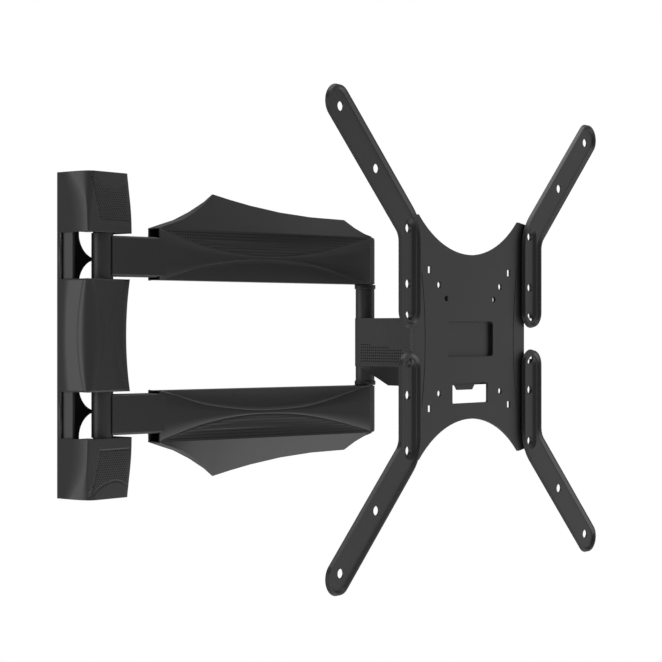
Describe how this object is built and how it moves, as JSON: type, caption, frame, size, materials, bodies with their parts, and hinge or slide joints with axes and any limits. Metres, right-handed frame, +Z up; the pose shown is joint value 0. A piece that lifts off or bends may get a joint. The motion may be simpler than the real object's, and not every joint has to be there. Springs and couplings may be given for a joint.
{
  "type": "full motion TV wall mount",
  "caption": "Full motion TV wall mount with paired swinging arms, a short link, and a swivelling and tilting X-shaped screen plate.",
  "frame": {"origin": "centre of the wall plate's back face, at the middle height between the two arms", "axes": "+Y into the wall, -Y into the room, +Z up, +X along the wall towards the folded-out arms"},
  "size_m": [0.5343, 0.2312, 0.438],
  "materials": {
    "cover_plastic": "fine textured black moulding",
    "frame_steel": "black powder coat",
    "screen_plate_steel": "black powder coat",
    "fastener_steel": "blackened steel",
    "nylon": "black nylon"
  },
  "bodies": {
    "wall": {"wall_channel": "frame_steel", "centre_cover": "cover_plastic", "upper_pivot_ears": "frame_steel", "lower_pivot_ears": "frame_steel", "upper_pivot_pin": "fastener_steel", "lower_pivot_pin": "fastener_steel", "upper_pivot_nut": "fastener_steel", "lower_pivot_nut": "fastener_steel", "upper_end_cover": "cover_plastic", "lower_end_cover": "cover_plastic"},
    "arms": {"upper_arm_tube": "frame_steel", "lower_arm_tube": "frame_steel", "upper_wall_sleeve": "frame_steel", "lower_wall_sleeve": "frame_steel", "upper_wall_bushes": "nylon", "lower_wall_bushes": "nylon", "upper_elbow_sleeve": "frame_steel", "lower_elbow_sleeve": "frame_steel", "upper_elbow_bushes": "nylon", "lower_elbow_bushes": "nylon", "upper_elbow_plug": "cover_plastic", "lower_elbow_plug": "cover_plastic", "upper_arm_cover": "cover_plastic", "lower_arm_cover": "cover_plastic"},
    "link": {"elbow_tube": "frame_steel", "elbow_pin": "fastener_steel", "link_web": "frame_steel", "link_cover": "cover_plastic", "head_pin": "fastener_steel", "head_nut": "fastener_steel", "upper_elbow_collar": "nylon", "lower_elbow_collar": "nylon", "upper_fork_plate": "frame_steel", "lower_fork_plate": "frame_steel"},
    "head": {"swivel_head": "frame_steel", "head_washers": "nylon", "tilt_bolt": "fastener_steel", "tilt_nut": "fastener_steel", "friction_discs": "fastener_steel"},
    "screen_plate": {"tilt_bracket": "frame_steel", "centre_plate": "screen_plate_steel", "x_arm_upper_left": "screen_plate_steel", "x_arm_upper_right": "screen_plate_steel", "x_arm_lower_left": "screen_plate_steel", "x_arm_lower_right": "screen_plate_steel"}
  },
  "joints": [
    {"name": "wall_swing", "type": "hinge", "parent": "wall", "child": "arms", "pos_m": [0, -0.0288, 0], "axis": [0, 0, 1], "range_deg": [-169, 10]},
    {"name": "elbow_swing", "type": "hinge", "parent": "arms", "child": "link", "pos_m": [0.30604, -0.0858, 0], "axis": [0, 0, 1], "range_deg": [-10, 190]},
    {"name": "head_swivel", "type": "hinge", "parent": "link", "child": "head", "pos_m": [0.28828, -0.18116, 0], "axis": [0, 0, 1], "range_deg": [-30.55, 9.45]},
    {"name": "tilt", "type": "hinge", "parent": "head", "child": "screen_plate", "pos_m": [0.28828, -0.20316, -0.00367], "axis": [1, 0, 0], "range_deg": [-5, 15]}
  ]
}
